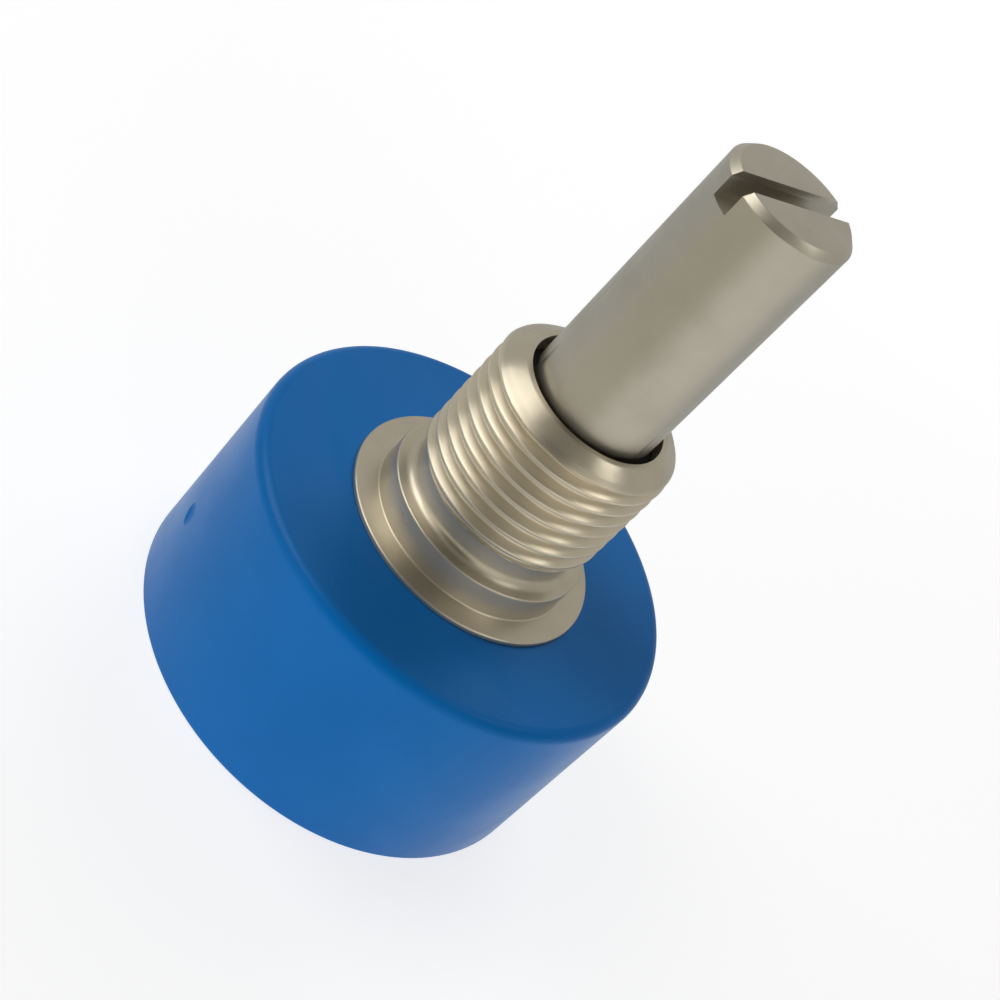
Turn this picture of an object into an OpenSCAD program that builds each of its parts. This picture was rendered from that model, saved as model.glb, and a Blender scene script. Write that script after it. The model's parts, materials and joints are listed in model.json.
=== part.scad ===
// Single-turn precision potentiometer. A moulded cup holds a plated bushing, and the bushing holds
// the slotted shaft. Inside, brushes on the shaft's carrier sweep a printed track and a collector.
// The origin is the centre of the rear face, +Z runs along the shaft and +Y points at the lugs.

/* [Housing] */
// Outside diameter of the moulded housing
body_d = 22.2; // [20:0.1:30]
// Length from the rear rim to the front face
body_len = 10.85; // [10:0.05:18]
// Thickness of the front wall that holds the bushing
front_wall = 2; // [1.4:0.1:3]
// Thickness of the rim round the rear cover
rim_wall = 0.9; // [0.6:0.05:1.4]
// Width of the ledge that the rear cover seats on
ledge_w = 0.7; // [0.4:0.05:1]
// Width of the shoulder that the element board seats against
shoulder_w = 0.7; // [0.4:0.05:1]
// Radius of the rounded front edge
front_edge_r = 0.6; // [0.2:0.05:1.2]
// Chamfer round the rear rim
rear_chamfer = 0.15; // [0.05:0.05:0.4]
// Diameter of the gate mark on the side
gate_d = 1.2; // [0.6:0.1:2]
// Depth of the gate mark
gate_depth = 0.2; // [0.1:0.05:0.4]
// Height of the gate mark above the rear face
gate_height = 4.45; // [2:0.05:8]
// Angle of the gate mark round the shaft
gate_angle = -150; // [-180:1:180]

/* [Rear cover] */
// Thickness of the rear cover
cover_t = 1.6; // [1.2:0.1:2.2]
// Width of the ring on the cover that clamps the element board
clamp_w = 2.4; // [1.6:0.1:3]
// Diameter of each ejector mark on the rear face
ejector_d = 2; // [1:0.1:3]
// Depth of each ejector mark
ejector_depth = 0.15; // [0.05:0.05:0.3]
// Radius of the circle of ejector marks
ejector_circle_r = 6.4; // [4:0.1:7]
// Number of ejector marks
ejector_count = 3; // [2:1:6]

/* [Bushing] */
// Diameter of the thin flange that seats on the panel
flange_d = 12.8; // [12:0.05:14]
// Height of the flange above the housing
flange_h = 0.25; // [0.2:0.05:1]
// Diameter of the pilot step above the flange
pilot_d = 10.31; // [10:0.01:10.8]
// Height of the pilot step
pilot_h = 1.5; // [0.6:0.05:2]
// Diameter of the relief below the thread
neck_d = 8.6; // [8:0.05:9]
// Length of the relief
neck_len = 1.2; // [0.6:0.05:2]
// Length of the cone from the relief up to the thread
run_in_len = 0.4; // [0.2:0.05:0.8]
// Major diameter of the thread
thread_d = 9.525; // [9.4:0.005:9.8]
// Length of the full thread
thread_len = 5.75; // [4:0.05:12]
// Pitch of the thread, which the solid shows as ring grooves
thread_pitch = 0.794; // [0.5:0.002:1.2]
// Width of each thread groove at its mouth
thread_groove_w = 0.48; // [0.3:0.02:0.5]
// Depth of each thread groove
thread_groove_depth = 0.39; // [0.2:0.01:0.4]
// Height of the first thread groove above the start of the thread
thread_first = 0.68; // [0.3:0.01:0.9]
// Length of the cone at the end of the thread
run_out_len = 0.3; // [0.1:0.05:0.6]
// Diameter at the foot of the plain nose beyond the thread
nose_d = 8.9; // [8.4:0.05:9.2]
// Length of the nose, which tapers towards its face
nose_len = 0.4; // [0.3:0.05:1.5]
// Width of the nose's flat face round the mouth
nose_face_w = 0.28; // [0.1:0.02:0.4]
// Diameter of the open mouth round the shaft
mouth_d = 7.03; // [6.8:0.01:7.6]
// Depth of the mouth
mouth_depth = 1.4; // [1:0.05:2]
// Diameter of the spigot that passes through the front wall
spigot_d = 10; // [9:0.1:11]
// Distance across the two flats that stop the spigot from turning
spigot_flats = 9.4; // [8.6:0.1:9.8]
// Diameter of the tail rolled over behind the front wall
lip_d = 11.4; // [11.1:0.1:13]
// Height of the rolled tail
lip_h = 0.9; // [0.5:0.05:1.2]

/* [Shaft] */
// Diameter of the free end that takes a knob
shaft_d = 6.35; // [6.2:0.01:6.5]
// Diameter of the journal inside the bushing
journal_d = 6; // [5.6:0.01:6]
// Length of the free end beyond the bushing
shaft_reach = 12.95; // [8:0.05:30]
// Chamfer at the tip
tip_chamfer = 0.33; // [0.1:0.01:0.8]
// Width of the screwdriver slot
slot_w = 1.15; // [0.8:0.05:1.6]
// Depth of the screwdriver slot
slot_depth = 1.45; // [0.8:0.05:2.5]
// Direction of the screwdriver slot round the shaft
slot_angle = 51; // [0:1:180]
// Depth of the groove for the front snap ring
ring_groove = 0.3; // [0.2:0.05:0.5]
// Thickness of the front snap ring
ring_t = 0.5; // [0.3:0.05:0.7]
// Diameter of the tail that carries the wiper carrier
tail_d = 5.2; // [4.8:0.1:5.4]
// Distance across the two flats of the tail
tail_flats = 4.4; // [4.2:0.1:4.6]
// Length of the tail beyond the carrier
tail_past = 0.85; // [0.7:0.05:1]

/* [Rotor] */
// Share of the rotor's depth that is left under the carrier for the wiper
wiper_share = 0.364; // [0.34:0.002:0.4]
// Share of the rotor's depth that the carrier's disc takes up
disc_share = 0.234; // [0.16:0.002:0.3]
// Diameter of the carrier's boss
boss_d = 9.6; // [8:0.1:11]
// Thickness of each rib between the boss and the disc
rib_t = 0.8; // [0.5:0.05:1.2]
// Number of ribs
rib_count = 6; // [3:1:8]
// Thickness of the thrust washer
washer_t = 0.4; // [0.2:0.05:0.6]
// Outside diameter of both washers
washer_d = 9.4; // [8:0.1:11]
// Thickness of the wave washer's sheet
wave_t = 0.2; // [0.1:0.02:0.3]
// Height of the wave washer as fitted
wave_h = 0.55; // [0.4:0.05:0.7]
// Number of waves
wave_count = 3; // [3:1:5]
// Thickness of the carrier's clip
clip_t = 0.4; // [0.3:0.05:0.5]
// Outside diameter of the carrier's clip
clip_d = 7.6; // [6.6:0.1:8]

/* [Element] */
// Thickness of the element board
board_t = 1; // [0.6:0.05:1.4]
// Thickness of the printed layers
ink_t = 0.1; // [0.05:0.01:0.15]
// Width of the resistance track
track_w = 1.3; // [1:0.05:1.5]
// Gap between the track and the collector ring
track_gap = 0.8; // [0.5:0.05:1.2]
// Width of the collector ring
collector_w = 1.2; // [1:0.05:1.5]
// Angle left open between the ends of the track
open_angle = 30; // [28:1:40]
// Width of the collector's tail
collector_tail_w = 1.7; // [1.4:0.1:1.8]

/* [Wiper] */
// Thickness of the wiper spring's sheet
spring_t = 0.2; // [0.1:0.02:0.3]
// Width of each spring arm
arm_w = 1; // [0.8:0.05:1.2]
// Thickness of each brush wire
wire_t = 0.15; // [0.1:0.01:0.2]
// Spacing of the brush wires
wire_pitch = 0.22; // [0.21:0.01:0.24]
// Number of wires in each brush
wire_count = 5; // [3:1:5]

/* [Terminals] */
// Width of each lug
lug_w = 2.4; // [2:0.1:2.8]
// Thickness of each lug
lug_t = 0.4; // [0.3:0.05:0.6]
// Length of each lug outside the housing
lug_reach = 5.4; // [4:0.1:9]
// Width of the lug's neck outside the housing
lug_neck_w = 1.5; // [1:0.1:1.8]
// Diameter of the solder eye
lug_eye_d = 1.3; // [0.8:0.1:1.6]
// Angle between the lugs
lug_angle = 30; // [26:1:40]
// Diameter of each rivet's shank
rivet_d = 0.9; // [0.6:0.05:1]
// Diameter of each rivet's head
rivet_head_d = 1.4; // [1.2:0.05:1.5]
// Height of each rivet's head
rivet_head_h = 0.3; // [0.2:0.05:0.4]
// Distance from the edge of the element board to each rivet
rivet_edge = 0.75; // [0.75:0.05:0.9]

/* [Fits] */
// Radial clearance of the journal in the bushing
journal_gap = 0.03; // [0.02:0.005:0.05]
// Clearance of pieces that are pressed or bonded together
press_gap = 0.02; // [0.01:0.005:0.04]
// Clearance of pieces that drop into a seat
seat_gap = 0.05; // [0.02:0.01:0.08]
// Clearance between the rotor's flat faces and the fixed pieces
run_gap = 0.05; // [0.03:0.01:0.08]
// Clearance of the carrier in the housing
carrier_gap = 0.4; // [0.3:0.05:0.6]

/* [Hidden] */
$fn = 96;

// A cut runs this far past the face that it opens
past = 1;

// Radii of the housing's steps
body_r = body_d / 2;
rebate_r = body_r - rim_wall;
seat_r = rebate_r - ledge_w;
cavity_r = seat_r - shoulder_w;
gate_r = gate_d / 2;

// Heights of the pieces stacked behind the housing's shoulder
board_z = cover_t + lug_t;
shoulder_z = board_z + board_t;
ink_top = shoulder_z + ink_t;
wall_z = body_len - front_wall;

// Heights and radii of the bushing
tail_z = wall_z - lip_h;
panel_z = body_len + flange_h;
pilot_top = panel_z + pilot_h;
neck_top = pilot_top + neck_len;
thread_z0 = neck_top + run_in_len;
thread_z1 = thread_z0 + thread_len;
thread_grooves = 1 + floor((thread_len - thread_first - thread_groove_w / 2) / thread_pitch);
nose_z = thread_z1 + run_out_len;
bushing_top = nose_z + nose_len;
mouth_z = bushing_top - mouth_depth;
spigot_r = spigot_d / 2;
lip_r = lip_d / 2;
flange_r = flange_d / 2;
pilot_r = pilot_d / 2;
neck_r = neck_d / 2;
thread_r = thread_d / 2;
nose_r = nose_d / 2;
mouth_r = mouth_d / 2;

// Heights and radii of the shaft and of what it carries
shaft_r = shaft_d / 2;
journal_r = journal_d / 2;
bore_r = journal_r + journal_gap;
step_below_mouth = 0.1;
step_z = bushing_top - step_below_mouth;
tip_z = bushing_top + shaft_reach;
ring_z = mouth_z + run_gap;
ring_seat_r = journal_r - ring_groove;
ring_r = mouth_r - seat_gap;
ring_opening = 2.2;
tail_r = tail_d / 2;
washer_z = tail_z - run_gap - washer_t;
boss_z = washer_z - wave_h;
rotor_room = boss_z - ink_top;
wiper_drop = wiper_share * rotor_room;
carrier_t = disc_share * rotor_room;
carrier_z = ink_top + wiper_drop;
rib_edge = 0.4;
rib_drop = 0.3;
washer_hole_r = journal_r + seat_gap;
washer_r = washer_d / 2;
boss_r = boss_d / 2;
carrier_r = cavity_r - carrier_gap;
clip_z = carrier_z - clip_t;
clip_groove = 0.15;
clip_groove_r = tail_flats / 2 - clip_groove;
clip_opening_share = 0.8;
clip_opening = 2 * clip_groove_r * clip_opening_share;

// Radii of the printed layers and of the rivets
board_r = seat_r - seat_gap;
rivet_r = board_r - rivet_edge;
rivet_shank_r = rivet_d / 2;
rivet_hole_r = rivet_shank_r + press_gap;
rivet_head_r = rivet_head_d / 2;
track_edge = 0.15;
track_out_r = rivet_r - rivet_head_r - track_edge;
track_in_r = track_out_r - track_w;
track_mid_r = (track_out_r + track_in_r) / 2;
collector_out_r = track_in_r - track_gap;
collector_in_r = collector_out_r - collector_w;
collector_mid_r = (collector_out_r + collector_in_r) / 2;
board_edge = 0.6;
board_hole_r = collector_in_r - board_edge;

// The end pads join the track's ends to the outer rivets
pad_angle = 4;
pad_gap = 0.2;
pad_past_rivet = 0.55;
pad_in_r = track_out_r + pad_gap;
pad_out_r = rivet_r + pad_past_rivet;
pad_past_lug = 6;

// Lugs and the bay that clears the rivets' heads
lug_middle = 90;
lug_eye_r = lug_w / 2;
lug_end_r = body_r + lug_reach - lug_eye_r;
lug_shoulder = 0.3;
lug_shoulder_r = body_r + lug_shoulder;
lug_side_gap = 0.15;
bay_gap = 0.15;
bay_h = ink_t + rivet_head_h + bay_gap;
bay_past_lug = 12;
bay_angle = lug_angle + bay_past_lug;

// Places along the wiper spring, from its root to the brushes' tips
wiper_root = -3.5;
wiper_bend = -1.9;
wire_root = -1.2;
arm_end = -0.6;
wire_bend = -0.1;
wire_end = 0.3;
arm_end_share = 0.32;
arm_end_rise = arm_end_share * wiper_drop;
stake_x = (wiper_root + wiper_bend) / 2;
stake_r = 0.45;
stake_head_r = 0.7;
stake_head_h = 0.25;
plate_edge = 0.25;
stake_edge = 0.75;
plate_outer_y = -(track_mid_r + plate_edge);
plate_inner_y = -(collector_mid_r - arm_w / 2);
stake_ys = [plate_outer_y + stake_edge, plate_inner_y - stake_edge];
plate_z = carrier_z - spring_t;
brush_z = ink_top + run_gap;
arm_end_z = ink_top + arm_end_rise;

// Straight pieces that each wave of the wave washer is made of
steps_per_wave = 24;

// Height of the spring arm's underside at a place along the wiper
function arm_under(x) = plate_z + (arm_end_z - plate_z) * (x - wiper_bend) / (arm_end - wiper_bend);

// A rectangle of a turned section, between two radii and two heights
module band(r0, r1, z0, z1) {
    translate([r0, z0]) square([r1 - r0, z1 - z0]);
}

// A cone of a turned section, solid to the axis
module taper(r0, z0, r1, z1) {
    polygon([[0, z0], [r0, z0], [r1, z1], [0, z1]]);
}

// A solid turned section with a rounded top edge
module rounded_band(r, z0, z1, edge) {
    band(0, r, z0, z1 - edge);
    band(0, r - edge, z0, z1);
    translate([r - edge, z1 - edge]) circle(edge);
}

// A flat ring, or part of one from a start angle
module ring(r0, r1, z0, z1, angle = 360, start = 0) {
    rotate([0, 0, start]) rotate_extrude(angle = angle) band(r0, r1, z0, z1);
}

// A round bar or hole along Z
module rod(r, z0, z1) {
    translate([0, 0, z0]) cylinder(r = r, h = z1 - z0);
}

// Two parallel flats on a round outline
module flatted(r, flats) {
    intersection() {
        circle(r);
        square([2 * r + past, flats], center = true);
    }
}

// A place on the circle of rivets
module at_rivet(angle) {
    rotate([0, 0, angle]) translate([rivet_r, 0, 0]) children();
}

// A side profile in X and Z, given its width along Y
module across(y_mid, w) {
    translate([0, y_mid + w / 2, 0]) rotate([90, 0, 0]) linear_extrude(w) children();
}

function lug_at(side) = lug_middle - side * lug_angle;

module housing_section() {
    difference() {
        union() {
            taper(body_r - rear_chamfer, 0, body_r, rear_chamfer);
            rounded_band(body_r, rear_chamfer, body_len, front_edge_r);
        }
        band(0, rebate_r, -past, cover_t);
        band(0, seat_r, -past, shoulder_z);
        band(0, cavity_r, -past, wall_z);
    }
}

module housing() {
    color("#1e67a8") difference() {
        rotate_extrude() housing_section();
        translate([0, 0, wall_z - past]) linear_extrude(front_wall + 2 * past)
            flatted(spigot_r + press_gap, spigot_flats + 2 * press_gap);
        ring(cavity_r - past, seat_r, shoulder_z, shoulder_z + bay_h,
             2 * bay_angle, lug_middle - bay_angle);
        for (side = [-1 : 1]) rotate([0, 0, lug_at(side)])
            translate([seat_r - past, -lug_w / 2 - seat_gap, cover_t])
                cube([rim_wall + ledge_w + 2 * past, lug_w + 2 * seat_gap, lug_t + seat_gap]);
        rotate([0, 0, gate_angle]) translate([body_r - gate_depth, 0, gate_height])
            rotate([0, 90, 0]) cylinder(r = gate_r, h = gate_depth + past);
    }
}

module rear_cover() {
    cover_r = rebate_r - press_gap;
    color("#26282b") difference() {
        union() {
            rotate_extrude() {
                taper(cover_r - rear_chamfer, 0, cover_r, rear_chamfer);
                band(0, cover_r, rear_chamfer, cover_t);
            }
            ring(board_r - clamp_w, board_r, cover_t, board_z);
        }
        for (side = [-1 : 1]) at_rivet(lug_at(side)) {
            translate([-lug_eye_r - seat_gap, -lug_w / 2 - lug_side_gap, cover_t])
                cube([board_r, lug_w + 2 * lug_side_gap, lug_t + past]);
            rod(rivet_head_r + seat_gap, cover_t - rivet_head_h - seat_gap, board_z + past);
        }
        for (i = [0 : ejector_count - 1]) rotate([0, 0, 360 * i / ejector_count - lug_middle])
            translate([ejector_circle_r, 0, 0]) rod(ejector_d / 2, -past, ejector_depth);
    }
}

module bushing_section() {
    difference() {
        union() {
            taper(spigot_r, tail_z, lip_r, tail_z + lip_h / 2);
            band(0, lip_r, tail_z + lip_h / 2, wall_z);
            band(0, spigot_r, wall_z, body_len);
            band(0, flange_r, body_len, panel_z);
            band(0, pilot_r, panel_z, pilot_top);
            band(0, neck_r, pilot_top, neck_top);
            taper(neck_r, neck_top, thread_r, thread_z0);
            band(0, thread_r, thread_z0, thread_z1);
            taper(thread_r, thread_z1, nose_r, nose_z);
            taper(nose_r, nose_z, mouth_r + nose_face_w, bushing_top);
        }
        band(0, bore_r, tail_z - past, bushing_top + past);
        band(0, mouth_r, mouth_z, bushing_top + past);
        for (i = [0 : thread_grooves - 1])
            translate([thread_r, thread_z0 + thread_first + i * thread_pitch]) polygon([
                [past, -thread_groove_w / 2], [0, -thread_groove_w / 2], [-thread_groove_depth, 0],
                [0, thread_groove_w / 2], [past, thread_groove_w / 2]
            ]);
    }
}

module bushing() {
    color("#c9c1b2") difference() {
        rotate_extrude() bushing_section();
        for (turn = [0, 180]) rotate([0, 0, turn])
            translate([-spigot_r, spigot_flats / 2, wall_z]) cube([spigot_d, spigot_r, front_wall]);
    }
}

module shaft() {
    color("#9a9384") difference() {
        union() {
            rod(journal_r, boss_z, step_z);
            rod(shaft_r, step_z, tip_z - tip_chamfer);
            translate([0, 0, tip_z - tip_chamfer])
                cylinder(r1 = shaft_r, r2 = shaft_r - tip_chamfer, h = tip_chamfer);
            translate([0, 0, carrier_z - tail_past])
                linear_extrude(boss_z - carrier_z + tail_past) flatted(tail_r, tail_flats);
        }
        ring(ring_seat_r, shaft_d, ring_z - press_gap, ring_z + ring_t + press_gap);
        ring(clip_groove_r, shaft_d, clip_z - press_gap, carrier_z);
        rotate([0, 0, slot_angle]) translate([-shaft_d, -slot_w / 2, tip_z - slot_depth])
            cube([2 * shaft_d, slot_w, slot_depth + past]);
    }
}

module front_snap_ring() {
    color("#3a3a3c") difference() {
        ring(ring_seat_r + press_gap, ring_r, ring_z, ring_z + ring_t);
        translate([-ring_opening / 2, 0, ring_z - past])
            cube([ring_opening, mouth_d, ring_t + 2 * past]);
    }
}

module thrust_washer() {
    color("#b9a36a") ring(washer_hole_r, washer_r, washer_z, washer_z + washer_t);
}

// A flat ring bent into waves that touch the boss below and the thrust washer above
module wave_washer() {
    steps = steps_per_wave * wave_count;
    lift = wave_h - wave_t - 2 * press_gap;
    corners = [[washer_hole_r, 0], [washer_r, 0], [washer_r, wave_t], [washer_hole_r, wave_t]];
    points = [
        for (i = [0 : steps - 1]) for (c = corners)
            let (a = 360 * i / steps, rise = lift * (1 - cos(wave_count * a)) / 2)
                [c.x * cos(a), c.x * sin(a), boss_z + press_gap + c.y + rise]
    ];
    n = len(corners);
    sides = [
        for (i = [0 : steps - 1]) for (k = [0 : n - 1])
            let (j = (i + 1) % steps, m = (k + 1) % n, a = n * i + k, b = n * i + m,
                 c = n * j + m, d = n * j + k)
                each [[a, b, c], [a, c, d]]
    ];
    color("#8f8f92") polyhedron(points, sides);
}

module wiper_carrier() {
    color("#e8e2d2") difference() {
        union() {
            ring(0, carrier_r, carrier_z, carrier_z + carrier_t);
            ring(0, boss_r, carrier_z, boss_z);
            for (i = [0 : rib_count - 1]) rotate([0, 0, 360 * i / rib_count]) across(0, rib_t)
                polygon([
                    [boss_r - past, carrier_z], [carrier_r - rib_edge, carrier_z],
                    [carrier_r - rib_edge, carrier_z + carrier_t], [boss_r, boss_z - rib_drop],
                    [boss_r - past, boss_z - rib_drop]
                ]);
            for (y = stake_ys) translate([stake_x, y, 0]) {
                rod(stake_r, plate_z, carrier_z);
                rod(stake_head_r, plate_z - stake_head_h, plate_z);
            }
        }
        translate([0, 0, carrier_z - past]) linear_extrude(boss_z - carrier_z + 2 * past)
            flatted(tail_r + press_gap, tail_flats + 2 * press_gap);
    }
}

module carrier_clip() {
    color("#5b5b60") difference() {
        ring(clip_groove_r + press_gap, clip_d / 2, clip_z, carrier_z);
        translate([0, -clip_opening / 2, clip_z - past])
            cube([clip_d, clip_opening, clip_t + 2 * past]);
    }
}

module wiper_spring() {
    arm_ys = [-track_mid_r, -collector_mid_r];
    color("#c79a5b") difference() {
        union() {
            across((plate_outer_y + plate_inner_y) / 2, plate_inner_y - plate_outer_y)
                band(wiper_root, wiper_bend, plate_z, carrier_z);
            for (y = arm_ys) across(y, arm_w) polygon([
                [wiper_bend, plate_z], [wiper_bend, carrier_z],
                [arm_end, arm_end_z + spring_t], [arm_end, arm_end_z]
            ]);
        }
        for (y = stake_ys) translate([stake_x, y, 0])
            rod(stake_r + press_gap, plate_z - past, carrier_z + past);
    }
}

// A row of flat wires under one spring arm, with their tips just off the printed layer
module brush(radius) {
    for (i = [0 : wire_count - 1])
        across(-radius + (i - (wire_count - 1) / 2) * wire_pitch, wire_t) polygon([
            [wire_root, arm_under(wire_root)], [arm_end, arm_end_z],
            [wire_bend, brush_z + wire_t], [wire_end, brush_z + wire_t],
            [wire_end, brush_z], [wire_bend, brush_z],
            [arm_end, arm_end_z - wire_t], [wire_root, arm_under(wire_root) - wire_t]
        ]);
}

module track_brush() {
    color("#d8c9a0") brush(track_mid_r);
}

module collector_brush() {
    color("#d8c9a0") brush(collector_mid_r);
}

module element_board() {
    color("#6d5a3c") difference() {
        ring(board_hole_r, board_r, board_z, shoulder_z);
        for (side = [-1 : 1]) at_rivet(lug_at(side))
            rod(rivet_hole_r, board_z - past, shoulder_z + past);
    }
}

module resistance_track() {
    color("#1c1c1d") ring(track_in_r, track_out_r, shoulder_z, ink_top,
                          360 - open_angle, lug_middle + open_angle / 2);
}

module collector_ring() {
    color("#b8b6b0") difference() {
        union() {
            ring(collector_in_r, collector_out_r, shoulder_z, ink_top);
            rotate([0, 0, lug_middle]) translate([collector_mid_r, -collector_tail_w / 2, shoulder_z])
                cube([pad_out_r - collector_mid_r, collector_tail_w, ink_t]);
        }
        at_rivet(lug_middle) rod(rivet_hole_r, shoulder_z - past, ink_top + past);
    }
}

// A silver pad from one end of the track to its rivet. The left one, side -1, is mirrored.
module end_pad(side) {
    first = open_angle / 2 - pad_angle;
    color("#b8b6b0") mirror([side < 0 ? 1 : 0, 0, 0]) difference() {
        union() {
            ring(track_in_r, pad_in_r + ink_t, shoulder_z, ink_top, pad_angle,
                 lug_middle - open_angle / 2);
            ring(pad_in_r, pad_out_r, shoulder_z, ink_top, lug_angle + pad_past_lug - first,
                 lug_middle - lug_angle - pad_past_lug);
        }
        at_rivet(lug_at(1)) rod(rivet_hole_r, shoulder_z - past, ink_top + past);
    }
}

// A flat solder lug, riveted to the board and led out through its window in the housing
module terminal(side) {
    color("#cfa85a") rotate([0, 0, lug_at(side)]) translate([0, 0, cover_t])
        linear_extrude(lug_t) difference() {
            union() {
                translate([rivet_r, 0]) circle(lug_eye_r);
                translate([rivet_r, -lug_w / 2]) square([lug_shoulder_r - rivet_r, lug_w]);
                translate([rivet_r, -lug_neck_w / 2]) square([lug_end_r - rivet_r, lug_neck_w]);
                translate([lug_end_r, 0]) circle(lug_eye_r);
            }
            translate([rivet_r, 0]) circle(rivet_hole_r);
            translate([lug_end_r, 0]) circle(lug_eye_d / 2);
        }
}

module rivet(side) {
    color("#c9b98a") at_rivet(lug_at(side)) {
        rod(rivet_head_r, cover_t - rivet_head_h, cover_t);
        rod(rivet_shank_r, cover_t - rivet_head_h, ink_top + rivet_head_h);
        rod(rivet_head_r, ink_top, ink_top + rivet_head_h);
    }
}

housing();
rear_cover();
bushing();
shaft();
front_snap_ring();
thrust_washer();
wave_washer();
wiper_carrier();
carrier_clip();
wiper_spring();
track_brush();
collector_brush();
element_board();
resistance_track();
collector_ring();
end_pad(-1);  // end_pad_left
end_pad(1);  // end_pad_right
terminal(-1);  // terminal_left
terminal(0);  // terminal_wiper
terminal(1);  // terminal_right
rivet(-1);  // rivet_left
rivet(0);  // rivet_wiper
rivet(1);  // rivet_right
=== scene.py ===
"""Models the finished pieces of a bushing-mount potentiometer over its CAD frame.

Heights run along Z from the rear face, as in the frame, and every length is in metres.
"""

import json
import math

import bpy
from bpy.props import FloatProperty, FloatVectorProperty, IntProperty, PointerProperty
from mathutils import Matrix, Vector


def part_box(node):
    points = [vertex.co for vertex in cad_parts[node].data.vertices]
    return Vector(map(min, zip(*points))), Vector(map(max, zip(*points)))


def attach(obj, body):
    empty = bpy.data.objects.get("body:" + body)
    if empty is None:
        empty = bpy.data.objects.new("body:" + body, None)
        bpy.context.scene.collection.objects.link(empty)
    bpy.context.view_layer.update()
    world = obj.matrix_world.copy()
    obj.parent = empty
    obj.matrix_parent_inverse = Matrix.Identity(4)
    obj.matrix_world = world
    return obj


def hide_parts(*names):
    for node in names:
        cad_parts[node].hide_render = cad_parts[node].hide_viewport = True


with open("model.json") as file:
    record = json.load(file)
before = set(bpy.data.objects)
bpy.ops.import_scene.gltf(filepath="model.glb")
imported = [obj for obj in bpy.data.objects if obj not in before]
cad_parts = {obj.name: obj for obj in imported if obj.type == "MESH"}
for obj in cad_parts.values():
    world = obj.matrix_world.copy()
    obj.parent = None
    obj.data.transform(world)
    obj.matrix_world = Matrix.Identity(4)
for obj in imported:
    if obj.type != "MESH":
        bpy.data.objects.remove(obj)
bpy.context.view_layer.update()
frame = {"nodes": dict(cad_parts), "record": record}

bl_info = {
    "name": "Precision Potentiometer",
    "version": (1, 0, 0),
    "blender": (4, 5, 0),
    "location": "3D View > Sidebar > Potentiometer",
    "description": "Models the finished pieces of a bushing-mount potentiometer",
    "category": "Add Mesh",
}

MM = 0.001
MERGE = 1e-8
MOUNTS = {mount["name"]: mount for mount in frame["record"]["mounts"]}


def low(node, axis=2):
    """Lowest place of a CAD node along an axis, which is Z unless given."""
    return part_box(node)[0][axis]


def high(node, axis=2):
    """Highest place of a CAD node along an axis, which is Z unless given."""
    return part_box(node)[1][axis]


def length(name, default, about):
    """A length that the sidebar shows, in metres."""
    return FloatProperty(name=name, description=about, default=default, min=0, precision=5,
                         unit="LENGTH")


def angle(name, default, about):
    """An angle that the sidebar shows, given in degrees."""
    return FloatProperty(name=name, description=about, default=math.radians(default),
                         subtype="ANGLE")


def colour(name, default, about):
    """A colour that the sidebar shows."""
    return FloatVectorProperty(name=name, description=about, default=default, size=3,
                               min=0, max=1, subtype="COLOR")


def amount(name, default, about):
    """A plain number that the sidebar shows."""
    return FloatProperty(name=name, description=about, default=default, min=0)


class HousingSizes(bpy.types.PropertyGroup):
    """Sizes and colours of the moulded housing and its rear cover"""
    radius: length("Radius", high("housing", 0), "Outside radius of the housing")
    front_z: length("Length", high("housing"), "Height of the front face")
    front_edge: length("Front edge", 0.6 * MM, "Radius of the rounded front edge")
    rear_edge: length("Rear edge", 0.15 * MM, "Radius of the rear edge")
    front_wall: length("Front wall", 2 * MM, "Thickness of the front wall")
    hole_r: length("Front hole", 5.02 * MM, "Radius of the hole for the bushing")
    rim_wall: length("Rim", 0.9 * MM, "Thickness of the rim round the rear cover")
    ledge: length("Ledge", 0.7 * MM, "Width of the ledge and of the shoulder inside")
    gate_r: length("Gate mark", 0.6 * MM, "Radius of the gate mark on the side")
    gate_depth: length("Gate depth", 0.18 * MM, "Depth of the gate mark")
    gate_z: length("Gate height", 4.45 * MM, "Height of the gate mark")
    gate_turn: angle("Gate angle", -150, "Angle of the gate mark round the shaft")
    ejector_r: length("Ejector mark", 1 * MM, "Radius of the ejector marks on the rear cover")
    ejector_circle: length("Ejector circle", 6.4 * MM, "Radius of the circle of ejector marks")
    ejector_depth: length("Ejector depth", 0.15 * MM, "Depth of the ejector marks")
    blue: colour("Blue", (0.002, 0.184, 0.58), "Main colour of the moulding")
    blue_shade: colour("Blue shade", (0.0018, 0.167, 0.53), "Colour of the flow marks")
    black: colour("Black", (0.012, 0.0125, 0.0135), "Main colour of the rear cover")
    black_shade: colour("Black shade", (0.018, 0.0185, 0.02), "Colour of its flow marks")


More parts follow.
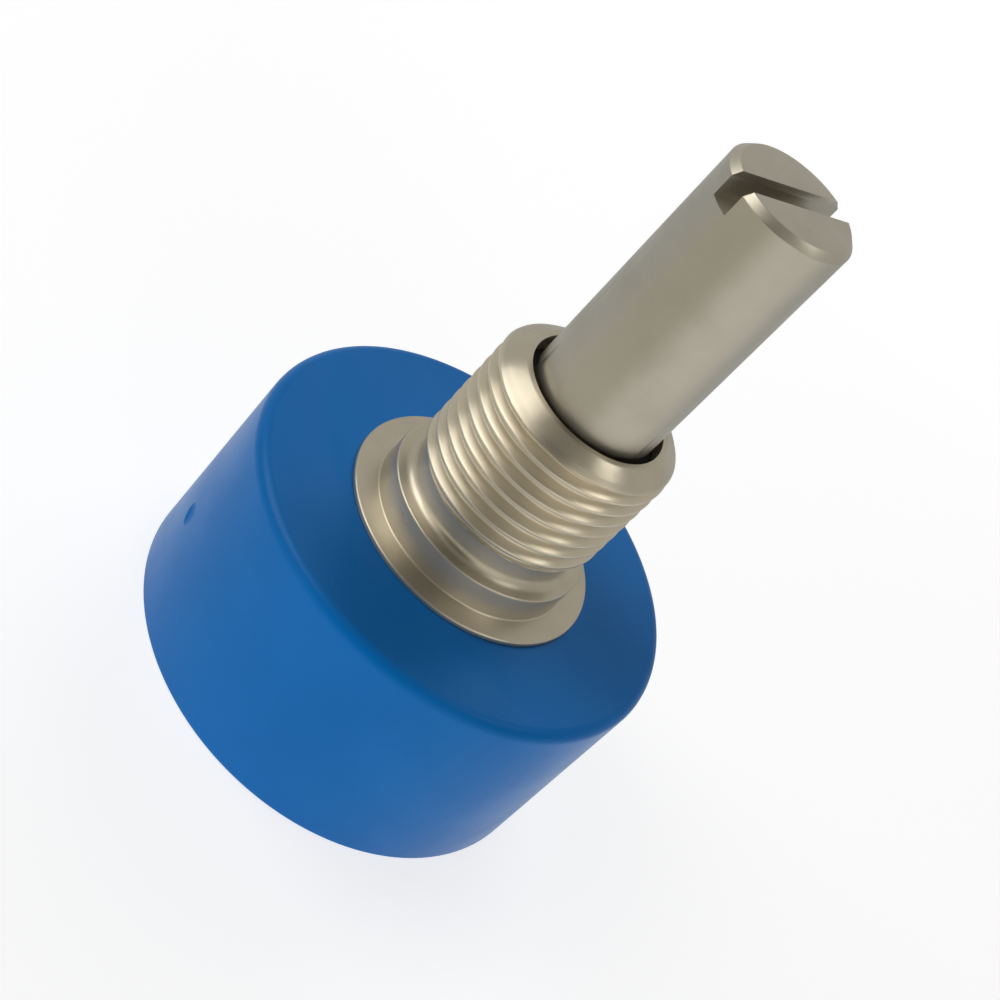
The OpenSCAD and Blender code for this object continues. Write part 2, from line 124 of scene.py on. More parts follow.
class BushingSizes(bpy.types.PropertyGroup):
    """Sizes and colours of the plated bushing"""
    flange_r: length("Flange", high("bushing", 0), "Radius of the flange")
    flange_top: length("Flange top", MOUNTS["panel_seat"]["pos_m"][2], "Height of the panel seat")
    pilot_r: length("Pilot", 5.155 * MM, "Radius of the pilot step")
    pilot_h: length("Pilot height", 1.5 * MM, "Height of the pilot step")
    neck_r: length("Relief", 4.3 * MM, "Radius of the relief below the thread")
    neck_len: length("Relief length", 1.2 * MM, "Length of the relief")
    neck_cove: length("Relief cove", 0.45 * MM, "Radius of the cove at the foot of the relief")
    run_in: length("Run-in", 0.4 * MM, "Length of the cone from the relief to the thread")
    thread_r: length("Thread", MOUNTS["bushing_thread"]["dims"]["r_mm"] * MM, "Major radius")
    thread_len: length("Thread length", MOUNTS["bushing_thread"]["dims"]["length_mm"] * MM,
                       "Length of the full thread")
    pitch: length("Pitch", 25.4 / 32 * MM, "Pitch of the right-hand thread")
    depth: length("Thread depth", 0.44 * MM, "Depth of the thread")
    crest_z: length("First crest", 14.55 * MM, "Height of a crest at the crest's angle")
    crest_turn: angle("Crest angle", -60, "Angle round the shaft of that crest")
    run_out: length("Run-out", 0.3 * MM, "Length of the cone at the end of the thread")
    nose_r: length("Nose", 4.45 * MM, "Radius of the plain nose")
    nose_face: length("Nose face", 0.28 * MM, "Width of the nose's flat face")
    nose_edge: length("Nose edge", 0.25 * MM, "Radius of the edge round the nose's face")
    top_z: length("Top", high("bushing"), "Height of the nose's face")
    mouth_r: length("Mouth", 3.515 * MM, "Radius of the open mouth")
    mouth_depth: length("Mouth depth", 1.4 * MM, "Depth of the open mouth")
    bore_r: length("Bore", 3.03 * MM, "Radius of the bore for the shaft")
    nickel: colour("Nickel", (0.56, 0.52, 0.43), "Main colour of the plating")
    nickel_shade: colour("Nickel shade", (0.49, 0.45, 0.365), "Colour of the plating's stains")
    # The thread's colour is a painted sheen: a paler tone that stands in for the brighter reflections
    # on the thread.
    thread_painted_sheen: colour("Thread", (0.66, 0.605, 0.49), "Colour of the plating on the thread")


class ShaftSizes(bpy.types.PropertyGroup):
    """Sizes and colours of the slotted shaft"""
    radius: length("Radius", MOUNTS["shaft_end"]["dims"]["r_mm"] * MM, "Radius of the free end")
    tip_z: length("Tip", high("shaft"), "Height of the tip")
    chamfer: length("Chamfer", 0.33 * MM, "Chamfer at the tip")
    journal_r: length("Journal", 3 * MM, "Radius of the journal in the bushing")
    step_below: length("Step", 0.1 * MM, "Depth of the free end's step inside the mouth")
    tail_r: length("Tail", 2.6 * MM, "Radius of the tail that carries the wiper carrier")
    tail_flat: length("Tail flat", 2.2 * MM, "Distance of the tail's flats from the axis")
    groove_r: length("Ring groove", 2.7 * MM, "Radius of the groove for the snap ring")
    clip_groove_r: length("Clip groove", 2.05 * MM, "Radius of the groove for the clip")
    slot_w: length("Slot", 1.15 * MM, "Width of the screwdriver slot")
    slot_depth: length("Slot depth", 1.45 * MM, "Depth of the screwdriver slot")
    slot_turn: angle("Slot angle", 51, "Direction of the slot round the shaft")
    slot_edge: length("Slot edge", 0.05 * MM, "Rounding of the slot's edges")
    steel: colour("Steel", (0.5, 0.475, 0.41), "Main colour of the turned steel")
    steel_shade: colour("Steel shade", (0.45, 0.425, 0.36), "Colour of the turning marks")


class LugSizes(bpy.types.PropertyGroup):
    """Sizes and colours of the solder lugs"""
    width: length("Width", 2.4 * MM, "Width of each lug and diameter of its eye")
    neck: length("Neck", 1.5 * MM, "Width of the neck outside the housing")
    shoulder_r: length("Shoulder", 11.4 * MM, "Distance of the wide part's end from the axis")
    rivet_r: length("Rivet", 8.7 * MM, "Distance of the rivet from the axis")
    rivet_hole: length("Rivet hole", 0.47 * MM, "Radius of the hole for the rivet")
    eye_r: length("Eye", MOUNTS["lug_eye_wiper"]["pos_m"][1], "Distance of the eye from the axis")
    eye_hole: length("Eye hole", MOUNTS["lug_eye_wiper"]["dims"]["r_mm"] * MM,
                     "Radius of the solder hole")
    edge: length("Edge", 0.04 * MM, "Rounding of the stamped edges")
    spacing: angle("Spacing", 30, "Angle between the lugs")
    gold: colour("Gold", (0.72, 0.46, 0.15), "Main colour of the plating")
    gold_shade: colour("Gold shade", (0.58, 0.35, 0.1), "Colour of the plating's stains")


class StageSizes(bpy.types.PropertyGroup):
    """Camera, floor and light"""
    camera_y: FloatProperty(name="Camera distance", description="Place of the camera along Y",
                            default=-74.6 * MM, unit="LENGTH")
    camera_z: length("Camera height", 65.52 * MM, "Height of the camera")
    camera_tilt: angle("Camera tilt", 35.06, "Angle that the camera looks down at")
    camera_roll: angle("Camera roll", 44.48, "Roll of the camera")
    lens: amount("Lens", 72.48, "Focal length in millimetres on a 36 mm sensor")
    floor_size: length("Floor", 3, "Width of the floor")
    floor_white: amount("Floor white", 0.86, "Brightness of the floor")
    floor_glow: amount("Floor glow", 0.4, "Light that the floor gives off")
    sky: colour("Sky", (0.025, 0.025, 0.025), "Colour of the light from all round")
    floor_back: colour("Floor behind", (0.54, 0.545, 0.54), "Colour of the floor as metal reflects it")
    floor_front: colour("Floor in front", (0.56, 0.525, 0.44), "The same in front of the part")
    floor_right: colour("Floor at the right", (0.92, 0.89, 0.83), "The same on the right")
    floor_near: colour("Floor near by", (0.95, 0.92, 0.85), "The same near the part")
    room: colour("Room", (0.6, 0.58, 0.53), "Colour of the room as metal reflects it")
    room_sides: colour("Room sides", (1, 0.94, 0.82), "The same to either side of the camera")
    room_top: colour("Ceiling", (0.28, 0.26, 0.22), "The same of the ceiling")
    room_front: colour("Room front", (0.03, 0.027, 0.024), "The same on the camera's side")


def settings(group):
    """The values of one group on the scene."""
    return getattr(bpy.context.scene, "pot_" + group)


class Value:
    """A shader socket in a Python expression: each operator adds a Math node."""

    def __init__(self, finish, socket):
        self.finish, self.socket = finish, socket

    def math(self, operation, *terms):
        return self.finish.node("Math", {"operation": operation}, dict(enumerate(terms)))

    def __add__(self, other):
        return self.math("ADD", self, other)

    def __sub__(self, other):
        return self.math("SUBTRACT", self, other)

    def __rsub__(self, other):
        return self.math("SUBTRACT", other, self)

    def __mul__(self, other):
        return self.math("MULTIPLY", self, other)

    def __truediv__(self, other):
        return self.math("DIVIDE", self, other)

    def __rtruediv__(self, other):
        return self.math("DIVIDE", other, self)

    def __pow__(self, other):
        return self.math("POWER", self, other)

    __radd__, __rmul__ = __add__, __mul__


class Finish:
    """The node tree of a material or of the world."""

    def __init__(self, owner):
        owner.use_nodes = True
        self.tree = owner.node_tree
        self.tree.nodes.clear()

    def node(self, kind, choices=None, inputs=None, output=0):
        """Adds a shader node with its choices made and its sockets filled or linked."""
        made = self.tree.nodes.new("ShaderNode" + kind)
        for key, choice in (choices or {}).items():
            if key == "stops":
                for stop, (place, grey) in zip(made.color_ramp.elements, choice):
                    stop.position, stop.color = place, (grey, grey, grey, 1)
            else:
                setattr(made, key, choice)
        for key, value in (inputs or {}).items():
            if isinstance(value, Value):
                self.tree.links.new(value.socket, made.inputs[key])
            else:
                made.inputs[key].default_value = value
        return Value(self, made.outputs[output]) if made.outputs else None

    def place(self, stretch=(1, 1, 1)):
        """A point on the piece in millimetres, stretched along each axis."""
        here = self.node("TexCoord", output="Object")
        return self.node("VectorMath", {"operation": "MULTIPLY"},
                         {0: here, 1: [s / MM for s in stretch]})

    def noise(self, scale, detail=2, stretch=(1, 1, 1)):
        """Soft noise from 0 to 1, with so many features to a millimetre."""
        return self.node("TexNoise", inputs={
            "Vector": self.place(stretch), "Scale": scale, "Detail": detail})

    def contrast(self, value, start, end):
        """A value spread out so that start becomes 0 and end becomes 1."""
        return self.node("MapRange", {"interpolation_type": "SMOOTHSTEP"}, {
            "Value": value, "From Min": start, "From Max": end})

    def blend(self, factor, first, second):
        """A colour between two colours."""
        return self.node("Mix", {"data_type": "RGBA"}, {
            0: factor, 6: opaque(first), 7: opaque(second)}, output=2)

    def bump(self, height, strength, distance):
        """A normal from a height that is given in millimetres of distance."""
        return self.node("Bump", inputs={
            "Height": height, "Strength": strength, "Distance": distance * MM})

    def surface(self, **inputs):
        """The Principled surface, with its inputs named in Python's way."""
        named = {key.replace("_", " ").title().replace("Ior", "IOR"): value
                 for key, value in inputs.items()}
        self.node("OutputMaterial", inputs={
            "Surface": self.node("BsdfPrincipled", inputs=named)})

    def towards(self, way):
        """1 in a direction from the part, 0 square to it and -1 opposite."""
        here = self.node("TexCoord", output="Object")
        unit = self.node("VectorMath", {"operation": "NORMALIZE"}, {0: here})
        return self.node("VectorMath", {"operation": "DOT_PRODUCT"}, {0: unit, 1: way}, "Value")

    def distance(self):
        """The distance from the object's origin."""
        here = self.node("TexCoord", output="Object")
        return self.node("VectorMath", {"operation": "LENGTH"}, {0: here}, "Value")

    def height(self):
        """The height above the object's origin."""
        here = self.node("TexCoord", output="Object")
        return self.node("VectorMath", {"operation": "DOT_PRODUCT"},
                         {0: here, 1: (0, 0, 1)}, "Value")

    def glow(self, colour):
        """Light given off in a colour."""
        return self.node("Emission", inputs={"Color": opaque(colour)})

    def by_ray(self, rest, metal, camera):
        """One of three shaders: for light that spreads, for what metal reflects and for the camera."""
        glossy = self.node("LightPath", output="Is Glossy Ray")
        seen = self.node("LightPath", output="Is Camera Ray")
        inner = self.node("MixShader", inputs={0: glossy, 1: rest, 2: metal})
        return self.node("MixShader", inputs={0: seen, 1: inner, 2: camera})


def opaque(value):
    """A colour with full alpha, or a socket as it is."""
    return value if isinstance(value, Value) else (*value, 1)


def moulding(name, base, shade, roughness, specular):
    """Moulded plastic: faint flow marks, a fine grain and slightly uneven gloss."""
    material = bpy.data.materials.new(name)
    finish = Finish(material)
    flow = finish.contrast(finish.noise(0.22, 4), 0.35, 0.7)
    grain = finish.noise(9, 2)
    pores = finish.contrast(finish.noise(2.6, 3), 0.62, 0.75)
    finish.surface(
        base_color=finish.blend(flow * 0.7 + grain * 0.3, base, shade),
        roughness=roughness + 0.08 * (flow - 0.5) + 0.1 * (grain - 0.5),
        specular_ior_level=specular,
        normal=finish.bump(grain - 0.5 * pores, 0.12, 0.012),
    )
    return material


def turned_metal(name, base, shade, roughness, smear, lines, groove, thread=None):
    """Turned metal: fine lines round the axis, cloudy stains and uneven gloss.

    A thread, given as its two ends and a paler colour, gets that colour as a painted sheen, which
    brightens the thread's reflections.
    """
    material = bpy.data.materials.new(name)
    finish = Finish(material)
    cut = finish.noise(1, 3, stretch=(0.12, 0.12, lines))
    stain = finish.contrast(finish.noise(0.5, 4), 0.35, 0.75)
    speck = finish.contrast(finish.noise(5, 3), 0.6, 0.72)
    tone = finish.blend(0.55 * stain + 0.35 * cut + 0.2 * speck, base, shade)
    # Painted sheen: the thread's band is blended to the paler colour, which stands in for brighter
    # reflected light.
    if thread:
        first, last, painted_sheen = thread
        height = finish.height()
        inside = (finish.contrast(height, first - 0.2 * MM, first)
                  * (1 - finish.contrast(height, last, last + 0.2 * MM)))
        tone = finish.blend(inside, tone, painted_sheen)
    finish.surface(
        base_color=tone,
        metallic=0.85,
        anisotropic=smear,
        anisotropic_rotation=0.25,
        roughness=roughness + 0.08 * stain + 0.1 * (cut - 0.5),
        normal=finish.bump(cut, 0.25, groove),
    )
    return material


def sheet_metal(name, base, shade, roughness):
    """Rolled sheet or drawn wire: cloudy stains and short rolling lines."""
    material = bpy.data.materials.new(name)
    finish = Finish(material)
    rolled = finish.noise(1, 3, stretch=(14, 0.8, 14))
    stain = finish.contrast(finish.noise(0.7, 4), 0.35, 0.75)
    finish.surface(
        base_color=finish.blend(0.6 * stain + 0.4 * rolled, base, shade),
        metallic=1.0,
        roughness=roughness + 0.12 * stain + 0.12 * (rolled - 0.5),
        normal=finish.bump(rolled, 0.15, 0.004),
    )
    return material


def printed(name, base, shade, roughness, metallic):
    """A printed or pressed layer with a matt, grainy face."""
    material = bpy.data.materials.new(name)
    finish = Finish(material)
    grain = finish.noise(12, 3)
    weave = finish.contrast(finish.noise(1.4, 3), 0.3, 0.7)
    finish.surface(
        base_color=finish.blend(0.5 * grain + 0.5 * weave, base, shade),
        metallic=metallic,
        roughness=roughness + 0.15 * (grain - 0.5),
        normal=finish.bump(grain, 0.2, 0.006),
    )
    return material


def deselect():
    bpy.ops.object.select_all(action="DESELECT")


def pick(piece):
    """Makes one piece the selected and active object."""
    deselect()
    piece.select_set(True)
    bpy.context.view_layer.objects.active = piece


def first_point(name, point):
    """A new piece in edit mode that is one selected vertex."""
    deselect()
    bpy.ops.mesh.primitive_plane_add(size=MM)
    piece = bpy.context.object
    piece.name = piece.data.name = name
    bpy.ops.object.mode_set(mode="EDIT")
    bpy.ops.mesh.select_all(action="SELECT")
    bpy.ops.mesh.merge(type="CENTER")
    bpy.ops.transform.translate(value=point)
    return piece


def wire(name, points):
    """A closed chain of edges, drawn point by point and left in edit mode."""
    piece = first_point(name, points[0])
    for here, there in zip(points, points[1:] + points[:1]):
        bpy.ops.mesh.extrude_region_move(TRANSFORM_OT_translate={"value": there - here})
    bpy.ops.mesh.select_all(action="SELECT")
    bpy.ops.mesh.remove_doubles(threshold=MERGE)
    bpy.ops.mesh.select_all(action="SELECT")
    return piece


def clean_up():
    """Merges doubles, turns the faces outwards and leaves edit mode."""
    bpy.ops.mesh.select_all(action="SELECT")
    bpy.ops.mesh.remove_doubles(threshold=MERGE)
    bpy.ops.mesh.select_all(action="SELECT")
    bpy.ops.mesh.normals_make_consistent(inside=False)
    bpy.ops.object.mode_set(mode="OBJECT")


def rounded(corners, steps=6):
    """Points of a closed outline. A corner is two coordinates, then its edge radius if it has one."""
    points = []
    for i, corner in enumerate(corners):
        here = Vector(corner[:2])
        if len(corner) == 2:
            points.append(here)
            continue
        back = (Vector(corners[i - 1][:2]) - here).normalized()
        ahead = (Vector(corners[(i + 1) % len(corners)][:2]) - here).normalized()
        half = back.angle(ahead) / 2
        centre = here + (back + ahead).normalized() * corner[2] / math.sin(half)
        start = here + back * corner[2] / math.tan(half) - centre
        end = here + ahead * corner[2] / math.tan(half) - centre
        sweep = math.atan2(start.x * end.y - start.y * end.x, start.dot(end))
        for k in range(steps + 1):
            points.append(centre + Matrix.Rotation(sweep * k / steps, 2) @ start)
    return points


def turned(name, section, steps):
    """Spins a closed section of radius and height points about the shaft's axis."""
    piece = wire(name, [Vector((r, 0, z)) for r, z in section])
    bpy.ops.mesh.spin(steps=steps, angle=math.tau, center=(0, 0, 0), axis=(0, 0, 1))
    clean_up()
    return piece


def plate(name, outline, z0, z1):
    """A flat piece of that outline between two heights."""
    piece = wire(name, [Vector((x, y, z0)) for x, y in outline])
    bpy.ops.mesh.edge_face_add()
    bpy.ops.mesh.extrude_region_move(TRANSFORM_OT_translate={"value": (0, 0, z1 - z0)})
    clean_up()
    return piece


def box_tool(size, centre, turn=0.0):
    """A box to cut with, turned about the shaft's axis."""
    deselect()
    spot = Matrix.Rotation(turn, 3, "Z") @ Vector(centre)
    bpy.ops.mesh.primitive_cube_add(size=1, location=spot, rotation=(0, 0, turn), scale=size)
    return bpy.context.object


def rod_tool(radius, depth, spot, rotation=(0, 0, 0)):
    """A round bar to cut with."""
    deselect()
    bpy.ops.mesh.primitive_cylinder_add(vertices=64, radius=radius, depth=depth, location=spot,
                                        rotation=rotation)
    return bpy.context.object


def ball_tool(radius, spot):
    """A ball to cut a dish with."""
    deselect()
    bpy.ops.mesh.primitive_uv_sphere_add(segments=96, ring_count=48, radius=radius,
                                         location=spot)
    return bpy.context.object


def cut(piece, *tools):
    """Cuts tools out of a piece and takes them away."""
    for tool in tools:
        pick(piece)
        step = piece.modifiers.new("cut", "BOOLEAN")
        step.operation, step.solver, step.object = "DIFFERENCE", "EXACT", tool
        bpy.ops.object.modifier_apply(modifier=step.name)
        bpy.data.objects.remove(tool, do_unlink=True)


def ease_edges(piece, width, limit):
    """Rounds every edge that is sharper than the limit."""
    pick(piece)
    step = piece.modifiers.new("ease", "BEVEL")
    step.width, step.segments, step.limit_method = width, 3, "ANGLE"
    step.angle_limit = math.radians(limit)
    bpy.ops.object.modifier_apply(modifier=step.name)


def hand_over(piece, body, node, material, limit=35):
    """Smooths a piece, gives it its finish and puts it in the CAD node's place."""
    pick(piece)
    bpy.ops.object.shade_smooth_by_angle(angle=math.radians(limit))
    piece.data.materials.clear()
    piece.data.materials.append(material)
    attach(piece, body)
    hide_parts(node)


class MakeHousing(bpy.types.Operator):
    """Moulded cup with its gate mark and the three windows for the lugs"""
    bl_idname = "pot.housing"
    bl_label = "Housing"

    def execute(self, context):
        h, lug = settings("housing"), settings("lugs")
        rebate, seat = h.radius - h.rim_wall, h.radius - h.rim_wall - h.ledge
        shelf, shoulder = low("terminal_wiper"), high("element_board")
        wall, cavity = h.front_z - h.front_wall, seat - h.ledge
        housing = turned("housing_shell", rounded([
            (rebate, 0, 0.05 * MM), (h.radius, 0, h.rear_edge),
            (h.radius, h.front_z, h.front_edge), (h.hole_r, h.front_z), (h.hole_r, wall),
            (cavity, wall, 0.2 * MM), (cavity, shoulder), (seat, shoulder), (seat, shelf),
            (rebate, shelf),
        ], steps=10), 192)
        top = high("terminal_wiper") + 0.05 * MM
        for side in (-1, 0, 1):
            cut(housing, box_tool((4 * MM, lug.width + 0.1 * MM, top - shelf),
                                  (h.radius, 0, (top + shelf) / 2),
                                  math.radians(90) + side * lug.spacing))
        dish = (h.gate_r ** 2 + h.gate_depth ** 2) / (2 * h.gate_depth)
        cut(housing, ball_tool(dish, Matrix.Rotation(h.gate_turn, 3, "Z") @ Vector(
            (h.radius - h.gate_depth + dish, 0, h.gate_z))))
        hand_over(housing, "stator", "housing",
                  moulding("blue_moulding", h.blue, h.blue_shade, 0.36, 0.16), limit=20)
        return {"FINISHED"}


class MakeRearCover(bpy.types.Operator):
    """Black disc in the rear of the cup, with its ejector marks"""
    bl_idname = "pot.rear_cover"
    bl_label = "Rear cover"

    def execute(self, context):
        h, lug = settings("housing"), settings("lugs")
        radius, top = high("rear_cover", 0), low("terminal_wiper")
        clamp, clamp_top = high("element_board", 0), high("rear_cover")
        cover = turned("rear_cover_disc", rounded([
            (0, 0), (radius, 0, h.rear_edge), (radius, top), (clamp, top), (clamp, clamp_top),
            (clamp - 2.4 * MM, clamp_top), (clamp - 2.4 * MM, top), (0, top),
        ]), 160)
        for i in range(3):
            spot = Matrix.Rotation(math.radians(120 * i - 90), 3, "Z") @ Vector(
                (h.ejector_circle, 0, 0))
            cut(cover, rod_tool(h.ejector_r, 2 * h.ejector_depth, spot))
        for side in (-1, 0, 1):
            turn = math.radians(90) + side * lug.spacing
            cut(cover, box_tool((6 * MM, lug.width + 0.3 * MM, clamp_top - top + MM),
                                (lug.rivet_r + 1.75 * MM, 0, (clamp_top + top + MM) / 2), turn))
            spot = Matrix.Rotation(turn, 3, "Z") @ Vector((lug.rivet_r, 0, top))
            cut(cover, rod_tool(0.75 * MM, 0.7 * MM, spot))
        hand_over(cover, "stator", "rear_cover",
                  moulding("black_moulding", h.black, h.black_shade, 0.55, 0.35))
        return {"FINISHED"}


class MakeBushing(bpy.types.Operator):
    """Turned and plated bushing with its cut thread"""
    bl_idname = "pot.bushing"
    bl_label = "Bushing"

    rows_per_pitch: IntProperty(name="Rows", description="Rows of faces to each turn of thread",
                                default=36, min=8)

    def execute(self, context):
        b = settings("bushing")
        tail, wall = low("bushing"), high("housing") - settings("housing").front_wall
        face = high("housing")
        spigot, lip = 5 * MM, 5.7 * MM
        pilot_top = b.flange_top + b.pilot_h
        neck_top = pilot_top + b.neck_len
        start = neck_top + b.run_in
        end = start + b.thread_len
        nose = end + b.run_out
        row = b.pitch / self.rows_per_pitch
        below = rounded([
            (b.bore_r, tail), (spigot, tail, 0.1 * MM), (lip, tail + 0.45 * MM, 0.1 * MM),
            (lip, wall), (spigot, wall), (spigot, face), (b.flange_r, face, 0.04 * MM),
            (b.flange_r, b.flange_top, 0.08 * MM), (b.pilot_r, b.flange_top, 0.08 * MM),
            (b.pilot_r, pilot_top, 0.08 * MM),
            (b.neck_r, pilot_top, b.neck_cove),
            (b.neck_r, neck_top - 0.06 * MM), (b.neck_r, neck_top),
        ])
        blank = []
        for (r0, z0), (r1, z1) in (((b.neck_r, neck_top), (b.thread_r, start)),
                                   ((b.thread_r, start), (b.thread_r, end)),
                                   ((b.thread_r, end), (b.nose_r, nose))):
            count = round((z1 - z0) / row)
            blank += [Vector((r0, z0)).lerp(Vector((r1, z1)), k / count) for k in range(1, count + 1)]
        above = rounded([
            (b.nose_r, nose), (b.mouth_r + b.nose_face, b.top_z, b.nose_edge),
            (b.mouth_r, b.top_z, 0.03 * MM),
            (b.mouth_r, b.top_z - b.mouth_depth), (b.bore_r, b.top_z - b.mouth_depth),
        ], steps=10)[1:]
        bushing = turned("bushing_turned", below + blank + above, 144)
        self.cut_thread(bushing.data, b, neck_top, nose)
        hand_over(bushing, "stator", "bushing",
                  turned_metal("nickel_plate", b.nickel, b.nickel_shade, 0.29, 0.8, 9, 0.003,
                               (start, end, b.thread_painted_sheen)))
        return {"FINISHED"}

    @staticmethod
    def cut_thread(mesh, b, low_z, high_z):
        """Moves the blank's wall in along a helix. The groove fades out towards the nose."""
        crest, root = 0.07, 0.39
        for vertex in mesh.vertices:
            x, y, z = vertex.co
            radius = math.hypot(x, y)
            if radius < b.mouth_r + 0.3 * MM or not low_z < z < high_z:
                continue
            rise = b.crest_z + b.pitch * (math.atan2(y, x) - b.crest_turn) / math.tau
            turn = ((z - rise) / b.pitch) % 1
            share = (min(turn, 1 - turn) - crest) / (root - crest)
            deep = eased(share, 0.12) - eased(share - 1, 0.12)
            fade = min(1, max(0, (high_z - 0.1 * MM - z) / (0.5 * MM)))
            wanted = max(b.thread_r - b.depth * deep * fade, b.neck_r)
            scale = 1 - eased(radius - wanted, 0.04 * MM) / radius
            vertex.co = (x * scale, y * scale, z)


def eased(x, width):
    """The larger of x and 0, with its corner rounded over a width to either side."""
    if x <= -width:
        return 0
    return x if x >= width else (x + width) ** 2 / (4 * width)


class MakeShaft(bpy.types.Operator):
    """Turned shaft with its screwdriver slot, grooves and flatted tail"""
    bl_idname = "pot.shaft"
    bl_label = "Shaft"

    def execute(self, context):
        s = settings("shaft")
        step = high("bushing") - s.step_below
        boss = high("wiper_carrier")
        gap = 0.02 * MM
        ring = (low("front_snap_ring") - gap, high("front_snap_ring") + gap)
        clip = (low("carrier_clip") - gap, high("carrier_clip"))
        shaft = turned("shaft_turned", rounded([
            (0, low("shaft")), (s.tail_r, low("shaft")), (s.tail_r, clip[0]),
            (s.clip_groove_r, clip[0]), (s.clip_groove_r, clip[1]), (s.tail_r, clip[1]),
            (s.tail_r, boss), (s.journal_r, boss), (s.journal_r, ring[0]), (s.groove_r, ring[0]),
            (s.groove_r, ring[1]), (s.journal_r, ring[1]), (s.journal_r, step), (s.radius, step),
            (s.radius, s.tip_z - s.chamfer, 0.06 * MM),
            (s.radius - s.chamfer, s.tip_z, 0.06 * MM), (0, s.tip_z),
        ], steps=4), 160)
        half = boss - low("shaft")
        for turn in (90, -90):
            cut(shaft, box_tool((4 * MM, 8 * MM, half + MM),
                                (s.tail_flat + 2 * MM, 0, boss - (half + MM) / 2),
                                math.radians(turn)))
        cut(shaft, box_tool((4 * s.radius, s.slot_w, 2 * s.slot_depth), (0, 0, s.tip_z),
                            s.slot_turn))
        ease_edges(shaft, s.slot_edge, 60)
        hand_over(shaft, "rotor", "shaft",
                  turned_metal("turned_steel", s.steel, s.steel_shade, 0.32, 0, 14, 0.003))
        return {"FINISHED"}


class MakeLugs(bpy.types.Operator):
    """Three stamped solder lugs, modelled once and copied round the shaft"""
    bl_idname = "pot.lugs"
    bl_label = "Solder lugs"

    def execute(self, context):
        lug = settings("lugs")
        half, neck = lug.width / 2, lug.neck / 2
        gold = sheet_metal("gold_plate", lug.gold, lug.gold_shade, 0.24)
        meet = math.asin(neck / half)
        outline = [Vector((lug.rivet_r + half * math.cos(a), half * math.sin(a)))
                   for a in steps_between(90, 270, 24)]
        outline += [Vector((lug.shoulder_r, -half)), Vector((lug.shoulder_r + half - neck, -neck))]
        outline += [Vector((lug.eye_r + half * math.cos(a), half * math.sin(a)))
                    for a in steps_between(math.degrees(meet) - 180, 180 - math.degrees(meet), 40)]
        outline += [Vector((lug.shoulder_r + half - neck, neck)), Vector((lug.shoulder_r, half))]
        z0, z1 = low("terminal_wiper"), high("terminal_wiper")
        model = plate("lug_model", outline, z0, z1)
        for radius, out in ((lug.rivet_hole, lug.rivet_r), (lug.eye_hole, lug.eye_r)):
            cut(model, rod_tool(radius, 2 * MM, (out, 0, z0)))
        ease_edges(model, lug.edge, 50)
        for name, side in (("left", 1), ("wiper", 0), ("right", -1)):
            copy = bpy.data.objects.new("lug_" + name, model.data.copy())
            bpy.context.scene.collection.objects.link(copy)
            copy.rotation_euler.z = math.radians(90) + side * lug.spacing
            pick(copy)
            bpy.ops.object.transform_apply(location=False, rotation=True, scale=False)
            hand_over(copy, "stator", "terminal_" + name, gold)
        bpy.data.objects.remove(model, do_unlink=True)
        return {"FINISHED"}


def steps_between(first, last, count):
    """Angles in radians from one angle in degrees to another."""
    return [math.radians(first + (last - first) * k / count) for k in range(count + 1)]


class FinishInside(bpy.types.Operator):
    """Finishes for the CAD pieces inside the housing, which keep their shapes"""
    bl_idname = "pot.inside"
    bl_label = "Inner pieces"

    def execute(self, context):
        lug = settings("lugs")
        spring = sheet_metal("spring_steel", (0.16, 0.155, 0.15), (0.1, 0.096, 0.09), 0.34)
        bronze = sheet_metal("bronze_sheet", (0.5, 0.27, 0.1), (0.4, 0.2, 0.07), 0.3)
        silver = printed("silver_print", (0.5, 0.49, 0.46), (0.42, 0.41, 0.38), 0.5, 0.8)
        gold = sheet_metal("gold_rivet", lug.gold, lug.gold_shade, 0.26)
        wire_alloy = sheet_metal("brush_wire", (0.66, 0.56, 0.34), (0.52, 0.43, 0.25), 0.2)
        # Black-oxide spring steel for the front snap ring; its near-black also serves as painted shade
        # that keeps the gap in the bushing's mouth dark.
        black = sheet_metal("black_spring", (0.02, 0.02, 0.02), (0.012, 0.012, 0.012), 0.5)
        finishes = {
            "front_snap_ring": black, "wave_washer": spring, "carrier_clip": spring,
            "thrust_washer": bronze, "wiper_spring": bronze,
            "track_brush": wire_alloy, "collector_brush": wire_alloy,
            "wiper_carrier": moulding("natural_nylon", (0.7, 0.65, 0.52), (0.62, 0.57, 0.44),
                                      0.45, 0.4),
            "element_board": printed("laminate", (0.15, 0.09, 0.035), (0.1, 0.06, 0.022), 0.55, 0),
            "resistance_track": printed("carbon_print", (0.01, 0.01, 0.01), (0.004, 0.004, 0.004),
                                        0.3, 0),
            "collector_ring": silver, "end_pad_left": silver, "end_pad_right": silver,
            "rivet_left": gold, "rivet_wiper": gold, "rivet_right": gold,
        }
        for name, material in finishes.items():
            node = frame["nodes"][name]
            if not node.material_slots:
                node.data.materials.append(material)
            for place in node.material_slots:
                place.material = material
        return {"FINISHED"}


